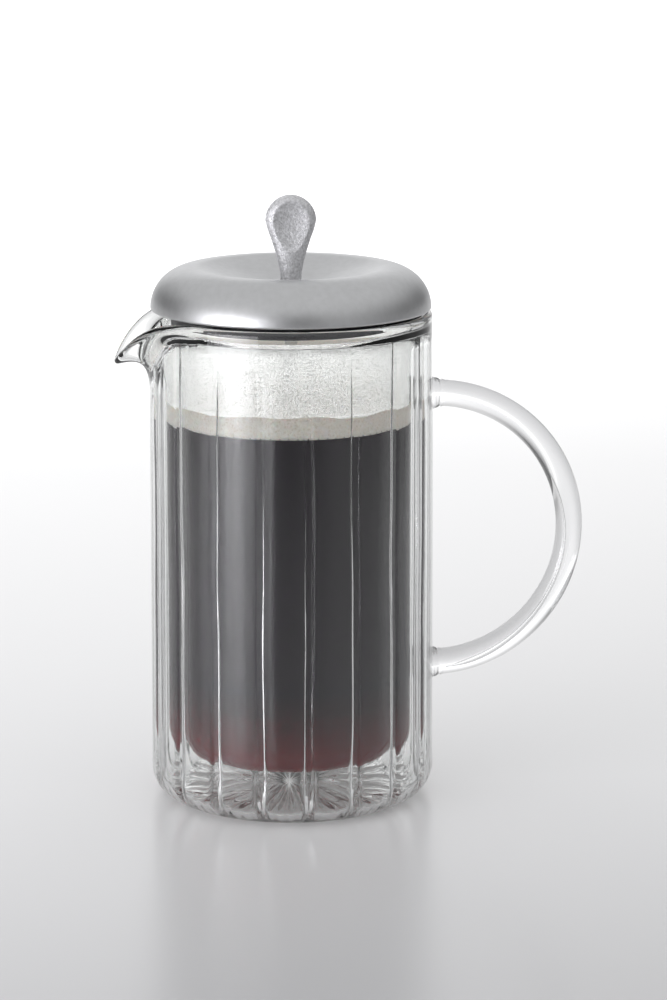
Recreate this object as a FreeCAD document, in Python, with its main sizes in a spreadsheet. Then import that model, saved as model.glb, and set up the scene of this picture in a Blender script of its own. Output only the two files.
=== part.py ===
import FreeCAD, Part
import math
import os
import Sketcher
from FreeCAD import Placement, Rotation, Vector

# French press: a double-wall glass vessel with a glass rod handle and a drawn spout, a domed
# metal lid with a liner and a seal, and a plunger of knob, rod and filter stack.
# Millimetres. The origin is the middle of the base, on the vessel's axis; +Z is up, the
# handle points along +X and the spout along -X. The plunger is modelled pressed down.

doc = FreeCAD.newDocument("french_press")
dim = doc.addObject("Spreadsheet::Sheet", "dim")

SIZES = {
    # outer glass jacket
    "base_radius": 50.5, "jacket_top_radius": 49.67, "jacket_top": 170.5, "jacket_wall": 2.2,
    "floor_thick": 2.4, "corner_outer": 9.5, "corner_inner": 7.3,
    "rib_count": 18, "rib_width": 2.0, "rib_depth": 1.0, "rib_top": 158.0, "rib_start": 8.0,
    "rib_corner": 4.0, "rib_root": 1.2, "rib_back_corner": 6.0,
    "vent_radius": 2.5, "vent_offset": 14.0,
    # inner beaker with its flared rim
    "beaker_radius": 42.6, "beaker_wall": 2.0, "beaker_bottom": 16.0, "beaker_corner": 10.0,
    "flare_start": 156.0, "flare_radius": 47.5, "rim_top": 174.0, "rim_radius": 49.6,
    "rim_wall": 3.2, "rim_bore_start": 171.0, "flare_round": 6.0, "rim_round": 1.4,
    # drawn spout
    "spout_start": 145.0, "spout_half_angle": 44.5, "tip_reach": 60.0, "tip_height": 157.6,
    "tip_wall": 2.4, "lip_sharp_plan": 1.82, "lip_sharp_drop": 3.5, "lip_droop": 12.0,
    # rod handle and its fused roots
    "handle_centre_x": 50.75, "handle_centre_z": 94.5, "handle_bend": 49.2, "rod_glass": 4.7,
    "root_reach": 54.6, "root_wide": 6.4, "root_narrow": 5.0, "root_inset": 46.0,
    # lid cover
    "lid_radius": 49.25, "lid_top_radius": 48.5, "lid_edge": 174.9, "lid_ridge": 189.6,
    "lid_shoulder": 14.3,
    "ridge_radius": 32.6, "ridge_round": 8.0, "dish_flat": 9.0, "dish_height": 182.6,
    "dish_round": 25.0, "lid_wall": 2.0, "lid_bore": 5.0, "edge_round": 0.8,
    "pillar_radius": 3.5, "pillar_circle": 26.0, "pillar_top": 185.8, "screw_radius": 1.5,
    # lid liner and seal
    "liner_plate": 175.2, "liner_play": 0.1, "liner_thick": 1.2, "skirt_radius": 42.0,
    "skirt_wall": 0.8,
    "skirt_bottom": 169.5, "seal_bottom": 170.7, "seal_top": 173.2, "seal_bore": 42.3,
    "seal_radius": 45.8, "seal_gap_angle": 45.0,
    "screw_depth": 7.0, "screw_head": 2.75, "screw_head_thick": 1.6,
    # rod bush and its clip
    "bush_radius": 4.95, "bush_bore": 2.55, "bush_bottom": 172.0, "bush_top": 184.2,
    "bush_flange": 8.0, "flange_bottom": 173.2, "flange_top": 175.0,
    "clip_radius": 7.2, "clip_bottom": 182.9,
    # knob
    "knob_bottom": 187.0, "knob_top": 214.5, "lock_radius": 3.65, "nut_bottom": 184.5,
    "thumb_radius": 8.2, "thumb_tall": 12.5, "thumb_deep": 3.4, "thumb_height": 204.0,
    # plunger rod and filter stack
    "rod_radius": 2.5, "thread_radius": 2.0, "rod_foot": 26.2, "rod_head": 196.0,
    "stack_bottom": 30.0, "cross_thick": 1.0, "mesh_thick": 0.4, "plate_thick": 1.0,
    "washer_thick": 1.0, "cross_radius": 38.2, "mesh_radius": 40.2, "plate_radius": 37.0,
    "plate_rim": 0.8, "plate_rim_top": 34.0, "spring_circle": 38.65, "spring_wire": 1.4,
    "washer_radius": 7.0, "hub_nut_bottom": 26.8, "nut_flats": 8.0,
    "plate_hole": 4.5, "plate_hole_circle": 24.0, "plate_hole_count": 8,
    "cross_hole": 3.2, "cross_hole_outer": 31.0, "cross_hole_outer_count": 18,
    "cross_hole_inner": 18.0, "cross_hole_inner_count": 10,
}

for row, (alias, number) in enumerate(SIZES.items(), start=1):
    dim.set("A%d" % row, alias)
    dim.set("B%d" % row, str(number))
    dim.setAlias("B%d" % row, alias)
doc.recompute()


def size(expression):
    """The value of an expression over the sheet's aliases, such as 'dim.rim_top + 2'."""
    value = dim.evalExpression(str(expression))
    return float(getattr(value, "Value", value))


def bind(feature, prop, expression):
    feature.setExpression(prop, str(expression))


# ---------------------------------------------------------------- sketch and body helpers

def new_body(label):
    body = doc.addObject("PartDesign::Body", label)
    body.Label = label
    return body


def origin_plane(body, role):
    return next(item for item in body.Origin.OriginFeatures if item.Role == role)


def new_sketch(body, name, role="XZ_Plane", height=None, turn=0.0):
    """A sketch on one of the body's own planes, lifted by height or turned about the axis."""
    sketch = body.newObject("Sketcher::SketchObject", name)
    sketch.AttachmentSupport = (origin_plane(body, role), [""])
    sketch.MapMode = "FlatFace"
    sketch.AttachmentOffset = Placement(Vector(0, 0, 0), Rotation(Vector(0, 1, 0), turn))
    if height is not None:
        bind(sketch, "AttachmentOffset.Base.z", height)
    return sketch


def place_point(sketch, geometry, end, across, up):
    for kind, expression in (("DistanceX", across), ("DistanceY", up)):
        index = sketch.addConstraint(
            Sketcher.Constraint(kind, -1, 1, geometry, end, size(expression)))
        bind(sketch, "Constraints[%d]" % index, expression)


def polygon(sketch, corners):
    """A closed outline whose corners are pairs of expressions."""
    spots = [Vector(size(across), size(up), 0) for across, up in corners]
    count = len(spots)
    for index in range(count):
        sketch.addGeometry(Part.LineSegment(spots[index], spots[(index + 1) % count]))
    for index in range(count):
        sketch.addConstraint(
            Sketcher.Constraint("Coincident", index, 2, (index + 1) % count, 1))
        place_point(sketch, index, 1, *corners[index])


def circle(sketch, across, up, radius):
    index = sketch.addGeometry(
        Part.Circle(Vector(size(across), size(up), 0), Vector(0, 0, 1), size(radius)))
    place_point(sketch, index, 3, across, up)
    rule = sketch.addConstraint(Sketcher.Constraint("Radius", index, size(radius)))
    bind(sketch, "Constraints[%d]" % rule, radius)


def revolve(body, name, corners):
    sketch = new_sketch(body, name + "_outline")
    polygon(sketch, corners)
    feature = body.newObject("PartDesign::Revolution", name)
    feature.Profile = sketch
    feature.ReferenceAxis = (sketch, ["V_Axis"])
    feature.Angle = 360.0
    doc.recompute()
    return feature


def pad(body, name, sketch, length):
    feature = body.newObject("PartDesign::Pad", name)
    feature.Profile = sketch
    bind(feature, "Length", length)
    doc.recompute()
    return feature


def pocket(body, name, sketch, length, upward=True):
    before = body.Shape.Volume
    feature = body.newObject("PartDesign::Pocket", name)
    feature.Profile = sketch
    feature.Reversed = upward
    bind(feature, "Length", length)
    doc.recompute()
    if body.Shape.Volume > before - 1e-3:
        raise RuntimeError("pocket %s cut nothing" % name)
    return feature


def polar(body, name, feature, count):
    pattern = body.newObject("PartDesign::PolarPattern", name)
    pattern.Originals = [feature]
    pattern.Axis = (origin_plane(body, "Z_Axis"), [""])
    pattern.Angle = 360.0
    bind(pattern, "Occurrences", count)
    body.Tip = pattern
    doc.recompute()
    return pattern


def round_rings(body, name, rings, radius):
    """Fillet the circular edges that pass through the given (radius, height) spots."""
    base = body.Tip
    wanted = [(size(across), size(up)) for across, up in rings]
    names = []
    for index, edge in enumerate(base.Shape.Edges, start=1):
        if not isinstance(edge.Curve, Part.Circle):
            continue
        for across, up in wanted:
            if abs(edge.Curve.Radius - across) < 1e-3 and abs(edge.Curve.Center.z - up) < 1e-3:
                names.append("Edge%d" % index)
    if len(names) < len(wanted):
        raise RuntimeError("fillet %s found %d of %d edges" % (name, len(names), len(wanted)))
    feature = body.newObject("PartDesign::Fillet", name)
    feature.Base = (base, names)
    bind(feature, "Radius", radius)
    doc.recompute()
    return feature


def wedge_corners(half_angle, reach=70.0):
    """A triangle from the axis towards -X, open by the half angle each side."""
    across = "-%s * cos(%s * 1deg)" % (reach, half_angle)
    aside = "%s * sin(%s * 1deg)" % (reach, half_angle)
    return [("0", "0"), (across, aside), ("-%s" % reach, "0"), (across, "-" + aside)]


PARTS = []


def sub_part(feature):
    PARTS.append(feature)
    return feature


def primitive(kind, name, numbers, base=(0, 0, 0), rotation=None):
    feature = doc.addObject(kind, name)
    for prop, expression in numbers.items():
        bind(feature, prop, expression)
    spot = Vector(*[size(item) for item in base])
    feature.Placement = Placement(spot, rotation or Rotation())
    return feature


def boolean(kind, name, first, second):
    feature = doc.addObject(kind, name)
    feature.Base = first
    feature.Tool = second
    feature.Label = name
    doc.recompute()
    return feature


# ---------------------------------------------------------------- glass jacket

def make_outer_wall():
    body = new_body("outer_wall")
    wall_top = "dim.jacket_top_radius - dim.jacket_wall"
    wall_foot = "dim.base_radius - dim.jacket_wall"
    revolve(body, "jacket", [
        ("0", "0"), ("dim.base_radius", "0"), ("dim.jacket_top_radius", "dim.jacket_top"),
        (wall_top, "dim.jacket_top"), (wall_foot, "dim.floor_thick"), ("0", "dim.floor_thick")])
    round_rings(body, "outer_corner", [("dim.base_radius", "0")], "dim.corner_outer")
    round_rings(body, "inner_corner", [(wall_foot, "dim.floor_thick")], "dim.corner_inner")

    # one rib runs out along the floor and up the inside of the wall; the handle and the spout
    # both stand at the middle of a panel, so the first rib is half a pitch away from +X
    half_pitch = 180.0 / size("dim.rib_count")
    rib = new_sketch(body, "rib_outline", turn=half_pitch)
    back = wall_foot + " + 1"
    front = wall_foot + " - dim.rib_depth"
    floor = "dim.floor_thick + dim.rib_depth"
    polygon(rib, [
        ("dim.rib_start", "dim.rib_root"), (back + " - dim.rib_back_corner", "dim.rib_root"),
        (back, "dim.rib_root + dim.rib_back_corner"), (wall_top + " + 1", "dim.rib_top"),
        (wall_top + " - dim.rib_depth", "dim.rib_top"),
        (front, floor + " + dim.rib_corner"), (front + " - dim.rib_corner", floor),
        ("dim.rib_start", floor)])
    ribs = pad(body, "rib", rib, "dim.rib_width")
    ribs.Midplane = True
    doc.recompute()
    polar(body, "ribs", ribs, "dim.rib_count")

    notch = new_sketch(body, "spout_notch_outline", "XY_Plane", "dim.spout_start")
    polygon(notch, wedge_corners("dim.spout_half_angle"))
    pocket(body, "spout_notch", notch, "dim.rim_top")
    vent = new_sketch(body, "vent_outline", "XY_Plane")
    circle(vent, "-dim.vent_offset", "0", "dim.vent_radius")
    pocket(body, "vent", vent, "dim.floor_thick")
    return sub_part(body)


def make_vent_seal():
    seal = primitive("Part::Cylinder", "vent_seal",
                     {"Radius": "dim.vent_radius", "Height": "dim.floor_thick"},
                     ("-dim.vent_offset", 0, 0))
    return sub_part(seal)


# ---------------------------------------------------------------- inner beaker and spout

def lip_bump(share, sharpness):
    """1 at the spout's middle, falling smoothly to 0 where the lip rejoins the rim."""
    rounded = math.sqrt(share * share + 0.0064) - 0.08
    return (1 - share * share) ** 2 * math.exp(-sharpness * rounded)


def spout_section(angle):
    """The closed outline of the spout's glass in the vertical plane at this angle from -X."""
    share = min(1.0, abs(angle) / size("dim.spout_half_angle"))
    reach = lip_bump(share, size("dim.lip_sharp_plan"))
    drop = lip_bump(share, size("dim.lip_sharp_drop"))
    start = size("dim.spout_start")
    wall = size("dim.rim_wall") + (size("dim.tip_wall - dim.rim_wall")) * reach
    middle_r = size("dim.rim_radius - dim.rim_wall / 2")
    middle_z = size("dim.rim_top - dim.rim_wall / 2")
    lip_r = middle_r + (size("dim.tip_reach") - middle_r) * reach
    lip_z = middle_z + (size("dim.tip_height") - middle_z) * drop
    lean = math.radians(90.0 - (90.0 + size("dim.lip_droop")) * reach ** 0.6)
    along = (math.cos(lean), math.sin(lean))
    normal = (-math.sin(lean), math.cos(lean))

    def spot(r, z):
        a = math.radians(angle)
        return Vector(-r * math.cos(a), -r * math.sin(a), z)

    lip_end = (lip_r + along[0] * wall / 2, lip_z + along[1] * wall / 2)
    outer_end = (lip_end[0] - normal[0] * wall / 2, lip_end[1] - normal[1] * wall / 2)
    inner_end = (lip_end[0] + normal[0] * wall / 2, lip_end[1] + normal[1] * wall / 2)
    outer_foot = size("dim.jacket_top_radius")
    inner_foot = size("dim.beaker_radius - dim.beaker_wall")
    rise = inner_end[1] - start
    pull = 7.5 * reach + 0.17 * rise * (1 - reach)
    outer_poles = [(outer_foot, start), (outer_foot, start + 12.0),
                   (outer_end[0] - along[0] * pull, outer_end[1] - along[1] * pull), outer_end]
    inner_poles = [inner_end,
                   (inner_end[0] - along[0] * pull * 1.3, inner_end[1] - along[1] * pull * 1.3),
                   (inner_foot, start + (0.8 - 0.25 * reach) * rise), (inner_foot, start)]

    def curve(poles):
        line = Part.BezierCurve()
        line.setPoles([spot(*pole) for pole in poles])
        return line.toShape()

    return Part.Wire([
        Part.makeLine(spot(inner_foot, start), spot(outer_foot, start)), curve(outer_poles),
        Part.makeLine(spot(*outer_end), spot(*inner_end)), curve(inner_poles)])


def make_pour_spout():
    half = size("dim.spout_half_angle")
    steps = 24
    sections = [spout_section(-half + 2 * half * step / steps) for step in range(steps + 1)]
    spout = doc.addObject("Part::Feature", "pour_spout")
    spout.Shape = Part.makeLoft(sections, True, False)
    return sub_part(spout)


def make_inner_beaker():
    body = new_body("inner_beaker")
    bore = "dim.beaker_radius - dim.beaker_wall"
    floor = "dim.beaker_bottom + dim.beaker_wall"
    rim_bore = "dim.rim_radius - dim.rim_wall"
    revolve(body, "beaker", [
        ("0", "dim.beaker_bottom"), ("dim.beaker_radius", "dim.beaker_bottom"),
        ("dim.beaker_radius", "dim.flare_start"), ("dim.flare_radius", "dim.jacket_top"),
        ("dim.jacket_top_radius", "dim.jacket_top"), ("dim.rim_radius", "dim.rim_top"),
        (rim_bore, "dim.rim_top"), (rim_bore, "dim.rim_bore_start"),
        (bore, "dim.flare_start"), (bore, floor), ("0", floor)])
    round_rings(body, "outer_corner", [("dim.beaker_radius", "dim.beaker_bottom")],
                "dim.beaker_corner")
    round_rings(body, "inner_corner", [(bore, floor)], "dim.beaker_corner - dim.beaker_wall")
    round_rings(body, "flare", [("dim.beaker_radius", "dim.flare_start"),
                                (bore, "dim.flare_start"), (rim_bore, "dim.rim_bore_start")],
                "dim.flare_round")
    round_rings(body, "rim_edge", [(rim_bore, "dim.rim_top"), ("dim.rim_radius", "dim.rim_top")],
                "dim.rim_round")
    notch = new_sketch(body, "spout_notch_outline", "XY_Plane", "dim.spout_start")
    polygon(notch, wedge_corners("dim.spout_half_angle"))
    pocket(body, "spout_notch", notch, "dim.rim_top")
    return sub_part(body)


# ---------------------------------------------------------------- handle

def handle_ring(name):
    return primitive("Part::Torus", name,
                     {"Radius1": "dim.handle_bend", "Radius2": "dim.rod_glass"},
                     ("dim.handle_centre_x", 0, "dim.handle_centre_z"),
                     Rotation(Vector(1, 0, 0), 90))


def make_handle():
    ring = handle_ring("glass_handle")
    ring.Angle3 = 180.0
    ring.Placement = Placement(ring.Placement.Base,
                               Rotation(Vector(0, 1, 0), 90) * ring.Placement.Rotation)
    return sub_part(ring)


def make_handle_roots(handle):
    """Fused glass where the rod's two ends meet the jacket."""
    roots = []
    for name, side in (("upper", "+"), ("lower", "-")):
        roots.append(primitive(
            "Part::Cone", name + "_root",
            {"Radius1": "dim.root_wide", "Radius2": "dim.root_narrow",
             "Height": "dim.root_reach - dim.root_inset"},
            ("dim.root_inset", 0, "dim.handle_centre_z %s dim.handle_bend" % side),
            Rotation(Vector(0, 1, 0), 90)))
    both = boolean("Part::Fuse", "roots_blank", roots[0], roots[1])
    jacket = primitive("Part::Cone", "jacket_face",
                       {"Radius1": "dim.base_radius", "Radius2": "dim.jacket_top_radius",
                        "Height": "dim.jacket_top"})
    trimmed = boolean("Part::Cut", "roots_trimmed", both, jacket)
    return sub_part(boolean("Part::Cut", "handle_roots", trimmed, handle))


# ---------------------------------------------------------------- lid

def make_lid_cover():
    body = new_body("lid_cover")
    inner_radius = "dim.lid_radius - dim.lid_wall"
    inner_top_radius = "dim.lid_top_radius - dim.lid_wall"
    inner_top = "dim.lid_ridge - dim.lid_wall"
    inner_dish = "dim.dish_height - dim.lid_wall"
    revolve(body, "cover", [
        ("dim.lid_bore", inner_dish), ("dim.dish_flat", inner_dish),
        ("dim.ridge_radius", inner_top), (inner_top_radius, inner_top),
        (inner_radius, "dim.lid_edge"), ("dim.lid_radius", "dim.lid_edge"),
        ("dim.lid_top_radius", "dim.lid_ridge"), ("dim.ridge_radius", "dim.lid_ridge"),
        ("dim.dish_flat", "dim.dish_height"), ("dim.lid_bore", "dim.dish_height")])
    round_rings(body, "shoulder", [("dim.lid_top_radius", "dim.lid_ridge")], "dim.lid_shoulder")
    round_rings(body, "inner_shoulder", [(inner_top_radius, inner_top)],
                "dim.lid_shoulder - dim.lid_wall")
    round_rings(body, "ridge", [("dim.ridge_radius", "dim.lid_ridge")], "dim.ridge_round")
    round_rings(body, "dish", [("dim.dish_flat", "dim.dish_height")], "dim.dish_round")
    round_rings(body, "edge", [("dim.lid_radius", "dim.lid_edge")], "dim.edge_round")

    foot = "dim.liner_plate + dim.liner_thick"
    pillar = new_sketch(body, "pillar_outline", "XY_Plane", foot)
    circle(pillar, "dim.pillar_circle", "0", "dim.pillar_radius")
    polar(body, "pillars", pad(body, "pillar", pillar, "dim.pillar_top - " + foot), 3)
    thread = new_sketch(body, "thread_outline", "XY_Plane", foot)
    circle(thread, "dim.pillar_circle", "0", "dim.screw_radius")
    polar(body, "threads",
          pocket(body, "thread", thread, "dim.screw_depth - dim.liner_thick"), 3)
    return sub_part(body)


def make_lid_liner():
    body = new_body("lid_liner")
    rim = "dim.lid_radius - dim.lid_wall - dim.liner_play"
    skirt_bore = "dim.skirt_radius - dim.skirt_wall"
    top = "dim.liner_plate + dim.liner_thick"
    revolve(body, "liner", [
        ("dim.lid_bore", "dim.liner_plate"), (skirt_bore, "dim.liner_plate"),
        (skirt_bore, "dim.skirt_bottom"), ("dim.skirt_radius", "dim.skirt_bottom"),
        ("dim.skirt_radius", "dim.liner_plate"), (rim, "dim.liner_plate"),
        (rim, top), ("dim.lid_bore", top)])
    hole = new_sketch(body, "screw_hole_outline", "XY_Plane", "dim.liner_plate")
    circle(hole, "dim.pillar_circle", "0", "dim.screw_radius")
    polar(body, "screw_holes", pocket(body, "screw_hole", hole, "dim.liner_thick"), 3)
    return sub_part(body)


def make_liner_screws():
    """Three pan-head screws, each through the liner into a pillar of the cover."""
    screws = []
    for index in range(3):
        angle = math.radians(120.0 * index)
        spot = size("dim.pillar_circle")
        across, aside = spot * math.cos(angle), spot * math.sin(angle)
        shank = primitive("Part::Cylinder", "screw_shank",
                          {"Radius": "dim.screw_radius", "Height": "dim.screw_depth"},
                          (across, aside, "dim.liner_plate"))
        head = primitive("Part::Cylinder", "screw_head",
                         {"Radius": "dim.screw_head", "Height": "dim.screw_head_thick"},
                         (across, aside, "dim.liner_plate - dim.screw_head_thick"))
        screws.append(boolean("Part::Fuse", "screw_%d" % index, shank, head))
    group = doc.addObject("Part::Compound", "liner_screws")
    group.Links = screws
    doc.recompute()
    return sub_part(group)


def make_lid_seal():
    """A soft ring round the skirt, open on the spout's side so that coffee can pass."""
    body = new_body("lid_seal")
    revolve(body, "ring", [
        ("dim.seal_bore", "dim.seal_bottom"), ("dim.seal_radius", "dim.seal_bottom + 0.9"),
        ("dim.seal_radius", "dim.seal_top - 0.6"), ("dim.seal_bore", "dim.seal_top")])
    gap = new_sketch(body, "gap_outline", "XY_Plane", "dim.seal_bottom - 1")
    polygon(gap, wedge_corners("dim.seal_gap_angle"))
    pocket(body, "gap", gap, "dim.seal_top - dim.seal_bottom + 2")
    return sub_part(body)


def make_rod_bush():
    body = new_body("rod_bush")
    revolve(body, "bush", [
        ("dim.bush_bore", "dim.bush_bottom"), ("dim.bush_radius", "dim.bush_bottom"),
        ("dim.bush_radius", "dim.flange_bottom"), ("dim.bush_flange", "dim.flange_bottom"),
        ("dim.bush_flange", "dim.flange_top"), ("dim.bush_radius", "dim.flange_top"),
        ("dim.bush_radius", "dim.bush_top"), ("dim.bush_bore", "dim.bush_top")])
    return sub_part(body)


def make_ring(label, bore, radius, bottom, top):
    body = new_body(label)
    revolve(body, "ring", [(bore, bottom), (radius, bottom), (radius, top), (bore, top)])
    return sub_part(body)


# ---------------------------------------------------------------- plunger

def make_hub_nut():
    body = new_body("hub_nut")
    sketch = new_sketch(body, "hexagon", "XY_Plane", "dim.hub_nut_bottom")
    corner = "dim.nut_flats / sqrt(3)"
    polygon(sketch, [("(%s) * cos(%d deg)" % (corner, angle), "(%s) * sin(%d deg)" % (corner, angle))
                     for angle in range(0, 360, 60)])
    thick = "dim.stack_bottom - dim.hub_nut_bottom"
    pad(body, "nut", sketch, thick)
    bore = new_sketch(body, "bore_outline", "XY_Plane", "dim.hub_nut_bottom")
    circle(bore, "0", "0", "dim.thread_radius")
    pocket(body, "bore", bore, thick)
    return sub_part(body)


# the knob's cross-sections, as (share of its height, half width, half thickness)
KNOB_SECTIONS = (
    (0.00, 3.65, 3.65), (0.19, 4.70, 4.00), (0.43, 6.75, 4.15), (0.60, 8.30, 4.10),
    (0.72, 8.85, 4.00), (0.86, 8.00, 3.70), (0.95, 5.90, 3.00), (1.00, 3.40, 1.80))


def make_knob():
    sections = []
    for index, (share, wide, deep) in enumerate(KNOB_SECTIONS):
        height = "dim.knob_bottom + %g * (dim.knob_top - dim.knob_bottom)" % share
        sections.append(primitive("Part::Ellipse", "knob_section_%d" % index,
                                  {"MajorRadius": wide, "MinorRadius": deep}, (0, 0, height)))
    blank = doc.addObject("Part::Loft", "knob_blank")
    blank.Sections = sections
    blank.Solid = True
    thumb = primitive("Part::Ellipsoid", "thumb_dish",
                      {"Radius1": "dim.thumb_deep", "Radius2": "dim.thumb_radius",
                       "Radius3": "dim.thumb_tall"},
                      (0, "-dim.thumb_deep - 1.6", "dim.thumb_height"),
                      Rotation(Vector(1, 0, 0), 90))
    dished = boolean("Part::Cut", "knob_dished", blank, thumb)
    bore = primitive("Part::Cylinder", "knob_bore",
                     {"Radius": "dim.thread_radius", "Height": "dim.rod_head - dim.knob_bottom"},
                     (0, 0, "dim.knob_bottom"))
    return sub_part(boolean("Part::Cut", "knob", dished, bore))


def make_plunger_rod(shoulder):
    body = new_body("plunger_rod")
    revolve(body, "rod", [
        ("0", "dim.rod_foot"), ("dim.thread_radius", "dim.rod_foot"),
        ("dim.thread_radius", shoulder), ("dim.rod_radius", shoulder),
        ("dim.rod_radius", "dim.nut_bottom"), ("dim.thread_radius", "dim.nut_bottom"),
        ("dim.thread_radius", "dim.rod_head"), ("0", "dim.rod_head")])
    return sub_part(body)


def pierce(body, name, radius, circle_radius, count, bottom, depth):
    """A ring of round holes."""
    sketch = new_sketch(body, name + "_outline", "XY_Plane", bottom)
    circle(sketch, circle_radius, "0", radius)
    polar(body, name + "s", pocket(body, name, sketch, depth), count)


def make_filter_stack():
    """From below: nut, cross plate, mesh, spring plate with the edge spring, washer."""
    mesh = "dim.stack_bottom + dim.cross_thick"
    plate = mesh + " + dim.mesh_thick"
    washer = plate + " + dim.plate_thick"
    shoulder = washer + " + dim.washer_thick"

    cross = make_ring("cross_plate", "dim.thread_radius", "dim.cross_radius",
                      "dim.stack_bottom", mesh)
    for name, spot in (("outer_hole", "outer"), ("inner_hole", "inner")):
        pierce(cross, name, "dim.cross_hole", "dim.cross_hole_" + spot,
               "dim.cross_hole_%s_count" % spot, "dim.stack_bottom", "dim.cross_thick")
    make_ring("filter_mesh", "dim.thread_radius", "dim.mesh_radius", mesh, plate)

    spring_plate = new_body("spring_plate")
    rim = "dim.plate_radius - dim.plate_rim"
    revolve(spring_plate, "plate", [
        ("dim.thread_radius", plate), ("dim.plate_radius", plate),
        ("dim.plate_radius", "dim.plate_rim_top"), (rim, "dim.plate_rim_top"),
        (rim, washer), ("dim.thread_radius", washer)])
    pierce(spring_plate, "flow_hole", "dim.plate_hole", "dim.plate_hole_circle",
           "dim.plate_hole_count", plate, "dim.plate_thick")
    sub_part(spring_plate)

    sub_part(primitive("Part::Torus", "edge_spring",
                       {"Radius1": "dim.spring_circle", "Radius2": "dim.spring_wire"},
                       (0, 0, plate + " + dim.spring_wire")))
    make_ring("hub_washer", "dim.thread_radius", "dim.washer_radius", washer, shoulder)
    make_hub_nut()
    return shoulder


# ---------------------------------------------------------------- build, check and write

make_outer_wall()
make_vent_seal()
make_inner_beaker()
make_pour_spout()
make_handle_roots(make_handle())
make_lid_cover()
make_lid_liner()
make_liner_screws()
make_lid_seal()
make_rod_bush()
make_ring("bush_clip", "dim.bush_radius", "dim.clip_radius", "dim.clip_bottom", "dim.bush_top")
make_ring("knob_nut", "dim.thread_radius", "dim.lock_radius", "dim.nut_bottom", "dim.knob_bottom")
make_knob()
make_plunger_rod(make_filter_stack())
doc.recompute()

for item in doc.Objects:
    if "Invalid" in item.State or "Error" in item.State:
        raise RuntimeError("%s did not build: %s" % (item.Label, item.State))

os.makedirs("parts", exist_ok=True)
for part in PARTS:
    if part.Shape.isNull() or not part.Shape.isValid():
        raise RuntimeError("%s has no valid shape" % part.Label)
    part.Shape.exportStep("parts/%s.step" % part.Label)
    print("%-14s %d solid(s) %9.1f mm3" % (part.Label, len(part.Shape.Solids), part.Shape.Volume))
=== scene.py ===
import bisect
import math
import random

import bmesh
import bpy
from mathutils import Matrix, Vector


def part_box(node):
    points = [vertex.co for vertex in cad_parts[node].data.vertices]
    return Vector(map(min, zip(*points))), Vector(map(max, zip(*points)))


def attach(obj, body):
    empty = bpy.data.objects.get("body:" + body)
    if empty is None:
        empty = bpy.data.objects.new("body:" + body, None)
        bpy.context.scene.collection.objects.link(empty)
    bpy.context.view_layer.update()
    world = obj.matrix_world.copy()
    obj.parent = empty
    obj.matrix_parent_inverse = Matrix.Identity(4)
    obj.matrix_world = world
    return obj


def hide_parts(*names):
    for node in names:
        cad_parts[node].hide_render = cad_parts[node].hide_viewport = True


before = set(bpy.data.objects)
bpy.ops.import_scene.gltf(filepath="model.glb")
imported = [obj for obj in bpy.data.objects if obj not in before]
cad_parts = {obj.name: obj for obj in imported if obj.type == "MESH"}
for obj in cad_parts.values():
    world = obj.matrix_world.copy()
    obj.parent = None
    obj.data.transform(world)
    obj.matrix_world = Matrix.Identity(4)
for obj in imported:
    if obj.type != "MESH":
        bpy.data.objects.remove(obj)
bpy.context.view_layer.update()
MM = 0.001
RNG = random.Random(7)

# ------------------------------------------------------------------ sizes, in millimetres
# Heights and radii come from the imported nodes. The other sizes follow the design, within
# a millimetre, and the jacket's ribs are added.

def top_of(node):
    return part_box(node)[1][2] / MM


def foot_of(node):
    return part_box(node)[0][2] / MM


def radius_of(node):
    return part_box(node)[1][1] / MM


RIM_TOP = top_of("inner_beaker")
JACKET_TOP = top_of("outer_wall")
BULGE_ROOM = 0.05
BASE_RADIUS = radius_of("outer_wall") - BULGE_ROOM
JACKET_TOP_RADIUS = 49.67
RIM_RADIUS, RIM_WALL = 49.6, 3.2
JACKET_WALL, FLOOR = 2.1, 2.4
CORNER = 9.5
FLAT_RADIUS = BASE_RADIUS - CORNER
BEAKER_RADIUS, BEAKER_WALL = 42.6, 2.0
BEAKER_BOTTOM = foot_of("inner_beaker")
BEAKER_CORNER = 10.0
BEAKER_FLOOR = BEAKER_BOTTOM + BEAKER_WALL
BORE = BEAKER_RADIUS - BEAKER_WALL
RIB_COUNT = 18
PITCH = 360.0 / RIB_COUNT
RIB_TURN = 1.2
RIB_PHASE = PITCH / 2 + RIB_TURN
RIB_HEIGHT, RIB_HALF, RIB_FOOT_HALF = 2.4, 1.9, 2.7
# the floor and its rounded corner follow the ribs as they are at this height
CORNER_RIB = 10.0
STAR_HEIGHT, STAR_HALF = 2.3, 3.0
FINE_HEIGHT, FINE_PER_RIB = 0.40, 4
SPOUT_START = foot_of("pour_spout")
SPOUT_HALF_ANGLE = 44.5
TIP_REACH, TIP_HEIGHT, TIP_WALL = 60.8, 157.4, 2.4
PLAN_SHARPNESS, DROP_SHARPNESS, LIP_DROOP = 1.82, 3.5, 12.0
FLARE_FOOT, FLARE_STEPS, GAP_NECK = 154.0, 40, 0.75
COFFEE_TOP, FOAM_TOP = 136.2, 143.0
WET_RADIUS = BORE + 0.15


# ------------------------------------------------------------------ mesh helpers

def new_piece(name, verts, faces, smooth=True):
    mesh = bpy.data.meshes.new(name)
    mesh.from_pydata(verts, [], faces)
    mesh.validate()
    mesh.update()
    if smooth:
        mesh.polygons.foreach_set("use_smooth", [True] * len(mesh.polygons))
    piece = bpy.data.objects.new(name, mesh)
    bpy.context.scene.collection.objects.link(piece)
    return piece


def signed_volume(verts, faces):
    total = 0.0
    for face in faces:
        a = Vector(verts[face[0]])
        for i in range(1, len(face) - 1):
            total += a.dot(Vector(verts[face[i]]).cross(Vector(verts[face[i + 1]])))
    return total / 6.0


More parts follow.
